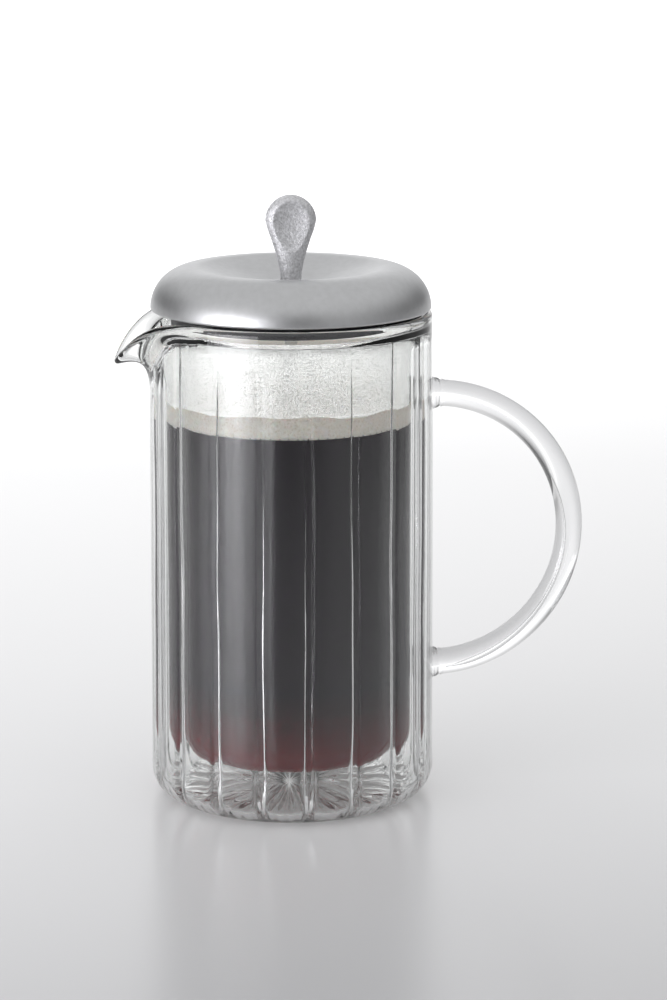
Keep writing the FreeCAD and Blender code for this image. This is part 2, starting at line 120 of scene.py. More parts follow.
def add_shell(verts, faces, rows, inward=False):
    """A closed shell: each row is a ring of points, and a row of one point is a pole."""
    start = []
    for row in rows:
        start.append(len(verts))
        verts.extend(row)
    made = []
    for i in range(len(rows) - 1):
        low, high = rows[i], rows[i + 1]
        count = max(len(low), len(high))
        for j in range(count):
            k = (j + 1) % count
            if len(low) == 1:
                made.append((start[i], start[i + 1] + j, start[i + 1] + k))
            elif len(high) == 1:
                made.append((start[i] + j, start[i + 1], start[i] + k))
            else:
                made.append((start[i] + j, start[i + 1] + j, start[i + 1] + k, start[i] + k))
    if (signed_volume(verts, made) < 0) != inward:
        made = [tuple(reversed(face)) for face in made]
    faces.extend(made)


def polar(r, angle, z):
    """A point at radius r and height z in millimetres, and an angle in radians."""
    return (r * math.cos(angle) * MM, r * math.sin(angle) * MM, z * MM)


def circle(r, z, segments):
    return [polar(r, 2 * math.pi * j / segments, z) for j in range(segments)]


def turned_piece(name, points, segments, ring=False):
    """An outline of (radius, height) points turned about Z; a ring stays off the axis."""
    outline = points + [points[0]] if ring else points
    rows = [circle(r, z, segments if r > 0 else 1) for r, z in outline]
    verts, faces = [], []
    add_shell(verts, faces, rows)
    piece = new_piece(name, verts, faces)
    if ring:
        weld(piece)
    return piece


def weld(piece):
    bm = bmesh.new()
    bm.from_mesh(piece.data)
    bmesh.ops.remove_doubles(bm, verts=bm.verts, dist=1e-7)
    bm.to_mesh(piece.data)
    bm.free()


def rounded(corners, steps, closed=False):
    """An outline of (x, y, radius) corners, with each radius turned into an arc."""
    count = len(corners)
    path = []
    for i, (x, y, radius) in enumerate(corners):
        here = Vector((x, y))
        if radius <= 0 or (not closed and i in (0, count - 1)):
            path.append((x, y))
            continue
        back = (Vector(corners[i - 1][:2]) - here).normalized()
        ahead = (Vector(corners[(i + 1) % count][:2]) - here).normalized()
        half = back.angle(ahead) / 2
        centre = here + (back + ahead).normalized() * (radius / math.sin(half))
        first = here + back * (radius / math.tan(half)) - centre
        last = here + ahead * (radius / math.tan(half)) - centre
        sweep = first.angle_signed(last)
        for k in range(steps + 1):
            turn = Matrix.Rotation(-sweep * k / steps, 2)
            spot = centre + turn @ first
            path.append((spot.x, spot.y))
    return path


def tube(name, path, radii, sides, closed=False):
    """A tube along path, in millimetres, with its own radius at each point."""
    count = len(path)
    points = [Vector(p) for p in path]
    tangents = []
    for i in range(count):
        before = points[i - 1] if closed or i else points[i]
        after = points[(i + 1) % count] if closed or i < count - 1 else points[i]
        tangents.append((after - before).normalized())
    seed = Vector((0, 1, 0)) if abs(tangents[0].y) < 0.9 else Vector((0, 0, 1))
    normal = (seed - tangents[0] * seed.dot(tangents[0])).normalized()
    rows = []
    for i in range(count):
        normal = (normal - tangents[i] * normal.dot(tangents[i])).normalized()
        other = tangents[i].cross(normal)
        ring = []
        for j in range(sides):
            a = 2 * math.pi * j / sides
            spot = points[i] + (normal * math.cos(a) + other * math.sin(a)) * radii[i]
            ring.append(tuple(spot * MM))
        rows.append(ring)
    verts, faces = [], []
    if closed:
        add_shell(verts, faces, rows + [rows[0]])
    else:
        first, last = tuple(points[0] * MM), tuple(points[-1] * MM)
        add_shell(verts, faces, [[first]] + rows + [[last]])
    piece = new_piece(name, verts, faces)
    if closed:
        weld(piece)
    return piece


def cut_out(piece, hollow):
    """Takes the closed space of hollow out of piece: its faces join it, turned inside out."""
    bm = bmesh.new()
    bm.from_mesh(hollow.data)
    bmesh.ops.reverse_faces(bm, faces=bm.faces[:])
    bm.from_mesh(piece.data)
    bm.to_mesh(piece.data)
    bm.free()
    bpy.data.objects.remove(hollow)


# ------------------------------------------------------------------ material helpers

def set_stops(ramp, stops):
    """Fills a colour ramp with (place, value) pairs, where a value is a colour or a grey."""
    steps = ramp.color_ramp.elements
    for index, (place, value) in enumerate(stops):
        colour = (value, value, value) if isinstance(value, (int, float)) else value
        step = steps[index] if index < 2 else steps.new(place)
        step.position = place
        step.color = (*colour, 1.0)


class Look:
    """A node material built round one Principled shader."""

    def __init__(self, name, colour, metallic=0.0, roughness=0.5, **sockets):
        self.material = bpy.data.materials.new(name)
        self.material.use_nodes = True
        self.nodes = self.material.node_tree.nodes
        self.links = self.material.node_tree.links
        self.shader = self.nodes["Principled BSDF"]
        self.output = self.nodes["Material Output"]
        self.set("Base Color", (*colour, 1.0))
        self.set("Metallic", metallic)
        self.set("Roughness", roughness)
        for socket, value in sockets.items():
            self.set(socket.replace("_", " "), value)
        self.where = self.nodes.new("ShaderNodeTexCoord").outputs["Object"]

    def set(self, socket, value):
        self.shader.inputs[socket].default_value = value

    def link(self, source, target):
        self.links.new(source, target)

    def node(self, kind, **settings):
        made = self.nodes.new(kind)
        for name, value in settings.items():
            if hasattr(made, name):
                setattr(made, name, value)
            else:
                made.inputs[name.replace("_", " ")].default_value = value
        return made

    def noise(self, scale, detail, stretch=(1, 1, 1), roughness=0.5):
        mapped = self.node("ShaderNodeMapping")
        mapped.inputs["Scale"].default_value = stretch
        self.link(self.where, mapped.inputs["Vector"])
        made = self.node("ShaderNodeTexNoise", Scale=scale, Detail=detail, Roughness=roughness)
        self.link(mapped.outputs["Vector"], made.inputs["Vector"])
        return made.outputs["Fac"]

    def cells(self, scale):
        made = self.node("ShaderNodeTexVoronoi", Scale=scale)
        self.link(self.where, made.inputs["Vector"])
        return made.outputs["Distance"]

    def ramp(self, source, stops, socket=None):
        """Colours or grey levels over source, as (place, value) pairs."""
        made = self.node("ShaderNodeValToRGB")
        set_stops(made, stops)
        self.link(source, made.inputs["Fac"])
        if socket:
            self.link(made.outputs["Color"], self.shader.inputs[socket])
        return made.outputs["Color"]

    def along(self, axis, low, high):
        """0 at low and 1 at high along an axis of the object, in metres."""
        parts = self.node("ShaderNodeSeparateXYZ")
        self.link(self.where, parts.inputs["Vector"])
        span = self.node("ShaderNodeMapRange")
        span.inputs["From Min"].default_value = low
        span.inputs["From Max"].default_value = high
        self.link(parts.outputs[axis], span.inputs["Value"])
        return span.outputs["Result"]

    def bump(self, source, strength, distance):
        made = self.node("ShaderNodeBump", Strength=strength, Distance=distance)
        self.link(source, made.inputs["Height"])
        chained = self.shader.inputs["Normal"]
        if chained.links:
            self.link(chained.links[0].from_socket, made.inputs["Normal"])
        self.link(made.outputs["Normal"], chained)

    def absorb(self, colour, density):
        made = self.node("ShaderNodeVolumeAbsorption", Density=density)
        made.inputs["Color"].default_value = (*colour, 1.0)
        self.link(made.outputs["Volume"], self.output.inputs["Volume"])


def wear(piece, look):
    piece.data.materials.clear()
    piece.data.materials.append(look.material)


def finish_piece(piece, look, body, replaces=()):
    wear(piece, look)
    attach(piece, body)
    if replaces:
        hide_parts(*replaces)
    return piece


# ------------------------------------------------------------------ materials

def glass_look():
    look = Look("clear_glass", (0.985, 0.992, 0.988), roughness=0.0, IOR=1.47)
    look.set("Transmission Weight", 1.0)
    look.absorb((0.78, 0.81, 0.80), 3.0)
    # faint waviness of blown and drawn glass
    look.bump(look.noise(55.0, 1.0, (1, 1, 0.35)), 0.25, 0.0004)
    return look


def rod_glass_look():
    look = Look("rod_glass", (0.99, 0.993, 0.99), roughness=0.0, IOR=1.47)
    look.set("Transmission Weight", 1.0)
    look.absorb((0.75, 0.74, 0.77), 20.0)
    return look


def satin_look():
    look = Look("satin_metal", (0.60, 0.605, 0.61), 1.0, 0.39)
    fine = look.noise(2600.0, 3.0)
    look.bump(fine, 0.22, 0.00006)
    look.ramp(look.noise(90.0, 4.0), [(0.3, 0.37), (0.7, 0.42)], "Roughness")
    look.ramp(look.noise(420.0, 5.0), [(0.3, (0.575, 0.58, 0.585)), (0.7, (0.615, 0.62, 0.627))],
              "Base Color")
    return look


def cast_look():
    look = Look("cast_metal", (0.74, 0.74, 0.75), 1.0, 0.58)
    grain = look.noise(1500.0, 5.0, roughness=0.6)
    look.bump(grain, 0.8, 0.00032)
    look.bump(look.cells(1800.0), 0.25, 0.00012)
    look.ramp(look.noise(1100.0, 4.0), [(0.32, (0.60, 0.60, 0.61)), (0.68, (0.88, 0.88, 0.90))],
              "Base Color")
    look.ramp(grain, [(0.3, 0.64), (0.7, 0.50)], "Roughness")
    return look


def steel_look(name, tone=0.62, roughness=0.26, stretch=(1, 1, 12)):
    look = Look(name, (tone, tone, tone * 1.02), 1.0, roughness)
    drawn = look.noise(1500.0, 3.0, stretch)
    look.bump(drawn, 0.15, 0.00004)
    look.ramp(drawn, [(0.3, roughness - 0.06), (0.7, roughness + 0.08)], "Roughness")
    return look


def liner_look():
    look = Look("dark_liner", (0.035, 0.035, 0.038), 0.0, 0.5)
    look.bump(look.noise(2200.0, 3.0), 0.25, 0.00008)
    look.ramp(look.noise(160.0, 3.0), [(0.3, 0.42), (0.7, 0.6)], "Roughness")
    return look


def rubber_look():
    look = Look("seal_rubber", (0.045, 0.045, 0.05), 0.0, 0.55)
    look.ramp(look.noise(260.0, 3.0), [(0.3, 0.48), (0.7, 0.68)], "Roughness")
    look.bump(look.noise(1800.0, 2.0), 0.15, 0.00006)
    return look


def bush_look():
    look = Look("bush_plastic", (0.70, 0.70, 0.68), 0.0, 0.35)
    look.ramp(look.noise(300.0, 2.0), [(0.3, 0.3), (0.7, 0.42)], "Roughness")
    return look


def coffee_painted_glow_look():
    look = Look("coffee", (0.013, 0.008, 0.010), 0.0, 0.5)
    look.set("Specular IOR Level", 0.0)
    # Painted light: the colour runs from bright red at the bottom to near black at the top, in
    # place of light shining through the thin coffee near the floor.
    look.ramp(look.along("Z", 0.014, 0.046),
              [(0.0, (0.42, 0.010, 0.018)), (0.35, (0.20, 0.005, 0.010)),
               (0.75, (0.045, 0.004, 0.010)), (1.0, (0.016, 0.005, 0.018))], "Base Color")
    return look


def foam_painted_glow_look():
    look = Look("coffee_foam_and_painted_glow", (0.86, 0.82, 0.76), 0.0, 0.7)
    look.set("Subsurface Weight", 0.25)
    look.set("Subsurface Scale", 0.004)
    # Painted glow: a faint warm emission brightens the foam in place of light reaching it
    # through the glass.
    look.set("Emission Color", (1.0, 0.93, 0.84, 1.0))
    look.set("Emission Strength", 0.20)
    bubbles = look.cells(900.0)
    look.ramp(bubbles, [(0.0, (0.66, 0.60, 0.50)), (0.35, (0.86, 0.83, 0.76)),
                        (0.8, (0.93, 0.91, 0.86))], "Base Color")
    look.bump(bubbles, 0.5, 0.0005)
    look.bump(look.noise(2500.0, 3.0), 0.3, 0.0002)
    return look


def mist_painted_glow_look():
    """Fine droplets on the glass above the coffee: pale, speckled and partly clear, with a
    painted glow that is brightest in each droplet.
    """
    look = Look("condensation_and_painted_glow", (0.97, 0.97, 0.96), 0.0, 0.30, IOR=1.33)
    look.set("Transmission Weight", 0.66)
    # Painted glow: the film gives off light, stronger at the droplet centres, in place of the
    # light the droplets scatter.
    look.set("Emission Strength", 1.0)
    drops = look.cells(2300.0)
    look.ramp(drops, [(0.12, 0.42), (0.42, 0.29), (0.66, 0.08)], "Emission Color")
    look.bump(drops, 0.6, 0.00022)
    return look


def floor_painted_light_look():
    """Pale and slightly glossy, with painted light: a painted glow and painted shade make it
    white at the back, greyer in front and to the sides.
    """
    look = Look("studio_floor_painted_light", (0.6, 0.6, 0.62), 0.0, 0.25)
    look.set("Specular IOR Level", 0.55)
    look.set("Emission Strength", 1.0)
    # Painted shade: the floor's colour and glow fall off towards both sides.
    across = look.ramp(look.along("X", -1.0, 1.0),
                       [(0.0, 0.62), (0.08, 0.64), (0.26, 1.0), (0.74, 1.0), (0.92, 0.64),
                        (1.0, 0.62)])
    back = look.along("Y", -1.4, 1.4)
    # Painted glow: the floor gives off light, strongest at the back and weakest a little in
    # front of the vessel.
    painted_glow = look.ramp(back, [(0.0, 0.12), (0.24, 0.03), (0.42, 0.115), (0.50, 0.195),
                            (0.57, 0.20), (0.70, 0.21), (0.77, 0.26), (0.83, 0.50),
                            (1.0, 0.62)])
    # Painted shade: the floor's colour darkens from white at the back to grey in front.
    tone = look.ramp(back, [(0.0, (0.60, 0.60, 0.61)), (0.24, (0.32, 0.32, 0.33)),
                            (0.43, (0.49, 0.49, 0.50)), (0.50, (0.62, 0.62, 0.63)),
                            (0.60, (0.73, 0.73, 0.735)), (0.76, (0.92, 0.92, 0.92)),
                            (1.0, (0.95, 0.95, 0.95))])
    for colour, socket in ((painted_glow, "Emission Color"), (tone, "Base Color")):
        product = look.node("ShaderNodeMix", data_type="RGBA", blend_type="MULTIPLY")
        product.inputs["Factor"].default_value = 1.0
        look.link(colour, product.inputs["A"])
        look.link(across, product.inputs["B"])
        look.link(product.outputs["Result"], look.shader.inputs[socket])
    return look


GLASS, ROD_GLASS = glass_look(), rod_glass_look()
SATIN, CAST = satin_look(), cast_look()
STEEL = steel_look("bright_steel")
SPRING = steel_look("spring_steel", 0.66, 0.2, (1, 1, 1))
WIRE = steel_look("mesh_steel", 0.55, 0.3, (1, 1, 1))
LINER, RUBBER, BUSH = liner_look(), rubber_look(), bush_look()
COFFEE_PAINTED_GLOW, FOAM_PAINTED_GLOW, MIST_PAINTED_GLOW = coffee_painted_glow_look(), foam_painted_glow_look(), mist_painted_glow_look()


# ------------------------------------------------------------------ glass vessel

def column_angles():
    """Angles round the vessel in degrees: close together at each rib and at the spout."""
    rib_step, spout_step, least = 0.38, 0.45, 0.12
    angles = set()
    for rib in range(RIB_COUNT):
        centre = RIB_PHASE + PITCH * rib
        for step in range(-5, 6):
            angles.add(round(centre + rib_step * step, 4))
        for step in range(1, 16):
            angles.add(round(centre + RIB_HALF + (PITCH - 2 * RIB_HALF) * step / 16, 4))
    for step in range(-16, 17):
        angles.add(round(180 + spout_step * step, 4))
    ordered = sorted(angle % 360 for angle in angles)
    return [a for i, a in enumerate(ordered) if i == 0 or a - ordered[i - 1] > least]


ANGLES = column_angles()


def from_rib(angle, z):
    """Degrees from the nearest rib, which wanders a little with height."""
    rib = round((angle - RIB_PHASE) / PITCH)
    turn = rib % RIB_COUNT
    wander = 0.26 * math.sin(z / 21.0 + 1.7 * turn) + 0.12 * math.sin(z / 8.0 + 2.9 * turn)
    return angle - (RIB_PHASE + PITCH * rib) - wander


def smooth(low, high, value):
    share = min(1.0, max(0.0, (value - low) / (high - low)))
    return share * share * (3 - 2 * share)


def rib_rise(angle, z):
    """How far the rib stands in from the jacket's inner face; it is wider at its foot."""
    half = RIB_HALF + (RIB_FOOT_HALF - RIB_HALF) * (1 - smooth(12.0, 34.0, z))
    share = math.sqrt((from_rib(angle, z) / half) ** 2 + 0.01) - 0.10
    return RIB_HEIGHT * (1 - share) ** 1.8 if share < 1 else 0.0


def wall_here(angle, z):
    """The jacket is thinnest at the middle of each panel."""
    return JACKET_WALL + 0.22 * math.cos(math.pi * from_rib(angle, z) / (PITCH / 2))


def jacket_radius(z):
    return BASE_RADIUS + (JACKET_TOP_RADIUS - BASE_RADIUS) * z / JACKET_TOP


def outer_bulge(angle, z):
    """A slight swelling outside each rib, strongest at the rounded foot."""
    height = 0.13 + 0.10 * (1 - smooth(4.0, 18.0, z))
    return height * math.exp(-(from_rib(angle, z) / 2.0) ** 2)


def ring_at(rule):
    """One ring of points: rule gives (radius, height) in millimetres at each angle."""
    ring = []
    for angle in ANGLES:
        r, z = rule(angle)
        ring.append(polar(r, math.radians(angle), z))
    return ring


def bezier(poles, t):
    s = 1 - t
    weights = (s * s * s, 3 * s * s * t, 3 * s * t * t, t * t * t)
    return (sum(w * p[0] for w, p in zip(weights, poles)),
            sum(w * p[1] for w, p in zip(weights, poles)))


def lip_bump(share, sharpness):
    rounded_share = math.sqrt(share * share + 0.0064) - 0.08
    return (1 - share * share) ** 2 * math.exp(-sharpness * rounded_share)


def lip(angle):
    """The lip at this angle: its middle, wall, direction, and the two curves that reach it."""
    share = min(1.0, abs(angle - 180.0) / SPOUT_HALF_ANGLE)
    reach = lip_bump(share, PLAN_SHARPNESS)
    drop = lip_bump(share, DROP_SHARPNESS)
    wall = RIM_WALL + (TIP_WALL - RIM_WALL) * reach
    r = RIM_RADIUS - RIM_WALL / 2
    z = RIM_TOP - RIM_WALL / 2
    r += (TIP_REACH - r) * reach
    z += (TIP_HEIGHT - z) * drop
    lean = math.radians(90.0 - (90.0 + LIP_DROOP) * reach ** 0.6)
    along = (math.cos(lean), math.sin(lean))
    normal = (-math.sin(lean), math.cos(lean))
    outer_end = (r - normal[0] * wall / 2, z - normal[1] * wall / 2)
    inner_end = (r + normal[0] * wall / 2, z + normal[1] * wall / 2)
    rise = inner_end[1] - SPOUT_START
    pull = 7.5 * reach + 0.17 * rise * (1 - reach)
    foot = jacket_radius(SPOUT_START)
    outer = [(foot, SPOUT_START), (foot, SPOUT_START + 12.0),
             (outer_end[0] - along[0] * pull, outer_end[1] - along[1] * pull), outer_end]
    inner = [inner_end,
             (inner_end[0] - along[0] * pull * 1.3, inner_end[1] - along[1] * pull * 1.3),
             (BORE, SPOUT_START + (0.8 - 0.25 * reach) * rise), (BORE, SPOUT_START)]
    # away from the spout the inner curve turns into the plain flare under the rim
    plain = [inner_end, (inner_end[0], FLARE_FOOT + 14.0), (BORE, FLARE_FOOT + 13.5),
             (BORE, FLARE_FOOT)]
    plainness = smooth(0.72, 1.0, share)
    inner = [tuple(a + (b - a) * plainness for a, b in zip(*pair))
             for pair in zip(inner, plain)]
    return {"spot": (r, z), "wall": wall, "along": along, "normal": normal,
            "outer": outer, "inner": inner}


LIPS = {angle: lip(angle) for angle in ANGLES}


def lip_round(angle, turn):
    """A point of the lip's rounded edge, from its outer side (0) to its inner side (pi)."""
    here = LIPS[angle]
    along, normal, half = here["along"], here["normal"], here["wall"] / 2
    return tuple(here["spot"][i] + half * (along[i] * math.sin(turn)
                                           - normal[i] * math.cos(turn)) for i in (0, 1))


def skin_rows():
    """The vessel's whole outside and inside, from the underside to the beaker's floor."""
    rows = [[(0.0, 0.0, 0.0)]]
    for share in (0.15, 0.3, 0.5, 0.7, 0.85, 0.95):
        rows.append(ring_at(lambda angle: (FLAT_RADIUS * share, 0.0)))
    for step in range(0, 11):
        turn = math.pi / 2 * step / 10

        def corner(angle):
            grow = outer_bulge(angle, 8.0) * math.sin(turn)
            return (FLAT_RADIUS + CORNER * math.sin(turn) + grow, CORNER * (1 - math.cos(turn)))
        rows.append(ring_at(corner))
    for step in range(1, 20):
        z = CORNER + (SPOUT_START - CORNER) * step / 20
        rows.append(ring_at(lambda angle: (jacket_radius(z) + outer_bulge(angle, z), z)))
    for step in range(0, 18):
        rows.append(ring_at(lambda angle: bezier(LIPS[angle]["outer"], step / 17)))
    for step in range(1, 8):
        rows.append(ring_at(lambda angle: lip_round(angle, math.pi * step / 8)))
    for step in range(0, 19):
        rows.append(ring_at(lambda angle: bezier(LIPS[angle]["inner"], step / 18)))
    bowl = BEAKER_CORNER - BEAKER_WALL
    for step in range(1, 8):
        z = SPOUT_START + (BEAKER_FLOOR + bowl - SPOUT_START) * step / 8
        rows.append(ring_at(lambda angle: (BORE, z)))
    for step in range(0, 9):
        turn = math.pi / 2 * step / 8
        rows.append(ring_at(lambda angle: (BORE - bowl * (1 - math.cos(turn)),
                                           BEAKER_FLOOR + bowl * (1 - math.sin(turn)))))
    for share in (0.75, 0.45, 0.2):
        rows.append(ring_at(lambda angle: ((BORE - bowl) * share, BEAKER_FLOOR)))
    rows.append([polar(0.0, 0.0, BEAKER_FLOOR)])
    return rows


def flare_offset(angle):
    """The beaker's outer face over the flare, as points from the top down to its foot."""
    poles = LIPS[angle]["inner"]
    points = [bezier(poles, t / FLARE_STEPS) for t in range(FLARE_STEPS + 1)]
    moved = []
    for i, (r, z) in enumerate(points):
        before = points[max(0, i - 1)]
        after = points[min(FLARE_STEPS, i + 1)]
        dr, dz = after[0] - before[0], after[1] - before[1]
        size = math.hypot(dr, dz)
        moved.append((r - dz / size * BEAKER_WALL, z + dr / size * BEAKER_WALL))
    return [p for p in moved if p[0] < JACKET_TOP_RADIUS - JACKET_WALL - GAP_NECK]


FLARES = {angle: flare_offset(angle) for angle in ANGLES}


def along_points(points, share):
    place = share * (len(points) - 1)
    i = min(int(place), len(points) - 2)
    t = place - i
    return tuple(points[i][k] + (points[i + 1][k] - points[i][k]) * t for k in (0, 1))


def floor_height(angle, r):
    """The top of the jacket's floor, with a ray under each rib and finer rays between."""
    ray = math.exp(-abs(from_rib(angle, CORNER_RIB) / STAR_HALF) ** 1.4) * STAR_HEIGHT
    ripple = math.cos(math.radians(angle - RIB_PHASE) * RIB_COUNT * FINE_PER_RIB)
    return FLOOR + ray * smooth(2.0, 16.0, r) + FINE_HEIGHT * ripple * smooth(5.0, 18.0, r)


def gap_rows():
    """The closed air gap between jacket and beaker, from its floor up and round and down."""
    hollow = CORNER - JACKET_WALL
    floor_edge = 38.0
    rows = [[polar(0.0, 0.0, FLOOR)]]
    for r in (1.5, 3.0, 5.0, 8.0, 11.0, 14.5, 18.0, 22.0, 26.0, 30.0, 34.0, floor_edge):
        rows.append(ring_at(lambda angle: (r, floor_height(angle, r))))
    for step in range(0, 11):
        turn = math.pi / 2 * step / 10

        def corner(angle):
            rib = rib_rise(angle, CORNER_RIB)
            near = hollow - rib * (1 - 0.45 * math.cos(turn))
            lift = (floor_height(angle, floor_edge) - FLOOR - rib) * math.cos(turn)
            return (FLAT_RADIUS + near * math.sin(turn),
                    FLOOR + hollow - near * math.cos(turn) + max(0.0, lift) * 0.5)
        rows.append(ring_at(corner))
    start = FLOOR + hollow
    for step in range(1, 41):
        def wall(angle):
            top = FLARES[angle][0][1]
            z = start + (top - start) * step / 40
            fade = 1 - smooth(top - 5.0, top, z)
            inner = jacket_radius(z) - wall_here(angle, z) - rib_rise(angle, z) * fade
            return (max(inner, FLARES[angle][0][0] + 0.3), z)
        rows.append(ring_at(wall))
    rows.append(ring_at(lambda angle: (FLARES[angle][0][0] + 0.2, FLARES[angle][0][1] + 0.25)))
    for step in range(0, 17):
        rows.append(ring_at(lambda angle: along_points(FLARES[angle], step / 16)))
    for step in range(1, 7):
        z = SPOUT_START + (BEAKER_BOTTOM + BEAKER_CORNER - SPOUT_START) * step / 7
        rows.append(ring_at(lambda angle: (BEAKER_RADIUS, z)))
    for step in range(0, 11):
        turn = math.pi / 2 * step / 10
        rows.append(ring_at(lambda angle: (
            BEAKER_RADIUS - BEAKER_CORNER * (1 - math.cos(turn)),
            BEAKER_BOTTOM + BEAKER_CORNER * (1 - math.sin(turn)))))
    for share in (0.8, 0.6, 0.4, 0.2):
        rows.append(ring_at(lambda angle: (
            (BEAKER_RADIUS - BEAKER_CORNER) * share, BEAKER_BOTTOM)))
    rows.append([polar(0.0, 0.0, BEAKER_BOTTOM)])
    return rows


def make_vessel():
    verts, faces = [], []
    add_shell(verts, faces, skin_rows())
    add_shell(verts, faces, gap_rows(), inward=True)
    vessel = new_piece("vessel_glass", verts, faces)
    return finish_piece(vessel, GLASS, "vessel",
                        ("outer_wall", "inner_beaker", "pour_spout", "vent_seal"))


# ------------------------------------------------------------------ handle

def make_handle():
    low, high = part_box("glass_handle")
    rod = high[1] / MM
    bend = (high[2] - low[2]) / MM / 2 - rod
    centre_x = high[0] / MM - bend - rod
    centre_z = (high[2] + low[2]) / MM / 2
    # the rod starts inside the jacket's glass, and its fused roots swell at the jacket's face
    sink, face = 48.8, 50.0
    root_swell, ripple_height = 1.2, 0.22
    path = []
    for k in range(3):
        path.append((sink + (centre_x - sink) * k / 3, 0, centre_z + bend))
    for k in range(0, 241):
        a = math.pi / 2 - math.pi * k / 240
        path.append((centre_x + bend * math.cos(a), 0, centre_z + bend * math.sin(a)))
    for k in range(1, 4):
        path.append((centre_x + (sink - centre_x) * k / 3, 0, centre_z - bend))
    radii = []
    for x, _, z in path:
        near = max(0.0, x - face)
        fused = root_swell * math.exp(-(near / 2.0) ** 1.6) if x < face + 12 else 0.0
        ripple = ripple_height * math.cos(near * 3.6) * math.exp(-((near - 2.6) / 2.0) ** 2)
        radii.append(rod + fused + ripple)
    handle = tube("rod_handle", path, radii, 96)

    # a thin line of air drawn out inside the rod, from its inner to its outer side
    line_start, line_span, line_front = 0.30, 0.67, -0.30
    offsets = [(0.0, -0.72), (0.3, -0.30), (0.6, -0.12), (1.0, 0.30)]
    widths = [(0.0, 0.05), (0.25, 0.28), (0.6, 0.55), (0.9, 0.80), (1.0, 0.08)]
    line, sizes = [], []
    for k in range(0, 161):
        share = k / 160
        a = math.pi / 2 - math.pi * (line_start + line_span * share)
        off = rod * spline(offsets, share)
        line.append((centre_x + (bend + off) * math.cos(a), line_front * rod,
                     centre_z + (bend + off) * math.sin(a)))
        sizes.append(spline(widths, share))
    cut_out(handle, tube("air_line", line, sizes, 20))
    return finish_piece(handle, ROD_GLASS, "vessel",
                        ("glass_handle", "handle_roots"))


# ------------------------------------------------------------------ contents

def make_coffee():
    """The coffee goes a hair into the glass, so that no air shows between them."""
    floor = BEAKER_FLOOR - 0.1
    corner = 8.1
    outline = rounded([(0, floor, 0), (WET_RADIUS, floor, corner), (WET_RADIUS, COFFEE_TOP, 0),
                       (0, COFFEE_TOP, 0)], 12)
    coffee = turned_piece("coffee_fill", outline, 160)
    return finish_piece(coffee, COFFEE_PAINTED_GLOW, "vessel")


def make_foam():
    """A layer with an uneven top, which climbs the glass a little at its edge."""
    waves = [(RNG.uniform(0.1, 0.35), RNG.randint(2, 17), RNG.uniform(0, 6.28))
             for _ in range(9)]

    def lift(angle, r):
        return sum(h * math.cos(n * angle + p + r / 6) for h, n, p in waves) * smooth(2, 30, r)

    wet, under, segments = WET_RADIUS, COFFEE_TOP - 0.4, 240
    rows = [[polar(0, 0, under)]]
    for r, z in ((wet * 0.6, under), (wet, under), (wet, COFFEE_TOP + 0.6)):
        rows.append(circle(r, z, segments))
    for r, sink in ((wet, 0.0), (wet - 0.9, -0.1), (wet - 2.2, 0.5), (wet - 4, 1.0), (30, 1.4),
                    (24, 1.4), (16, 1.2), (9, 1.2), (4, 0.9)):
        angles = [2 * math.pi * j / segments for j in range(segments)]
        rows.append([polar(r, a, FOAM_TOP - sink + lift(a, r)) for a in angles])
    rows.append([polar(0, 0, FOAM_TOP - 0.9)])
    verts, faces = [], []
    add_shell(verts, faces, rows)
    return finish_piece(new_piece("coffee_foam_and_painted_glow", verts, faces), FOAM_PAINTED_GLOW, "vessel")


def make_mist():
    """A thin wet film on the beaker's wall, from the foam up into the flare, which glows with
    painted light.
    """
    low = FOAM_TOP - 0.4
    steps, plain_end, spout_end = 24, 0.28, 0.63
    clear_of_glass, thickness = 0.03, 0.10
    inside = [lambda angle, z=z: (BORE, z) for z in (low, low + 1.2)]
    for step in range(0, steps + 1):
        def flare(angle, step=step):
            share = min(1.0, abs(angle - 180.0) / SPOUT_HALF_ANGLE)
            end = plain_end + (spout_end - plain_end) * (1 - smooth(0.0, 0.9, share))
            return bezier(LIPS[angle]["inner"], 1.0 - (1.0 - end) * step / steps)
        inside.append(flare)
    rows = []
    for depth, rules in ((clear_of_glass, inside),
                         (clear_of_glass + thickness, list(reversed(inside)))):
        for rule in rules:
            rows.append(ring_at(lambda angle: (rule(angle)[0] - depth, rule(angle)[1])))
    verts, faces = [], []
    add_shell(verts, faces, rows + [rows[0]])
    film = new_piece("condensation_film", verts, faces)
    weld(film)
    return finish_piece(film, MIST_PAINTED_GLOW, "vessel")


# ------------------------------------------------------------------ lid and plunger

def make_lid():
    low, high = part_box("lid_cover")
    edge, ridge, radius = low[2] / MM, high[2] / MM, high[1] / MM
    shoulder, shoulder_round = radius - 0.75, 14.3
    bore, dish, wall = 5.0, 182.6, 2.0
    outline = rounded([
        (bore, dish, 0.3), (9.0, dish, 25.0), (32.6, ridge, 8.0),
        (shoulder, ridge, shoulder_round), (radius, edge, 0.75), (radius - wall, edge, 0.4),
        (shoulder - wall, ridge - wall, shoulder_round - wall),
        (32.2, ridge - wall, 8.0), (9.3, dish - wall, 20.0), (bore, dish - wall, 0.2)],
        14, closed=True)
    lid = turned_piece("lid_dome", outline, 192, ring=True)
    return finish_piece(lid, SATIN, "lid", ("lid_cover",))


def spline(points, x):
    """A smooth curve through (x, y) points, by Catmull-Rom."""
    xs = [p[0] for p in points]
    i = min(max(bisect.bisect_right(xs, x) - 1, 0), len(points) - 2)
    p0, p1 = points[max(i - 1, 0)], points[i]
    p2, p3 = points[i + 1], points[min(i + 2, len(points) - 1)]
    t = (x - p1[0]) / (p2[0] - p1[0])
    m1 = (p2[1] - p0[1]) / (p2[0] - p0[0]) * (p2[0] - p1[0])
    m2 = (p3[1] - p1[1]) / (p3[0] - p1[0]) * (p2[0] - p1[0])
    return ((2 * t ** 3 - 3 * t * t + 1) * p1[1] + (t ** 3 - 2 * t * t + t) * m1
            + (3 * t * t - 2 * t ** 3) * p2[1] + (t ** 3 - t * t) * m2)


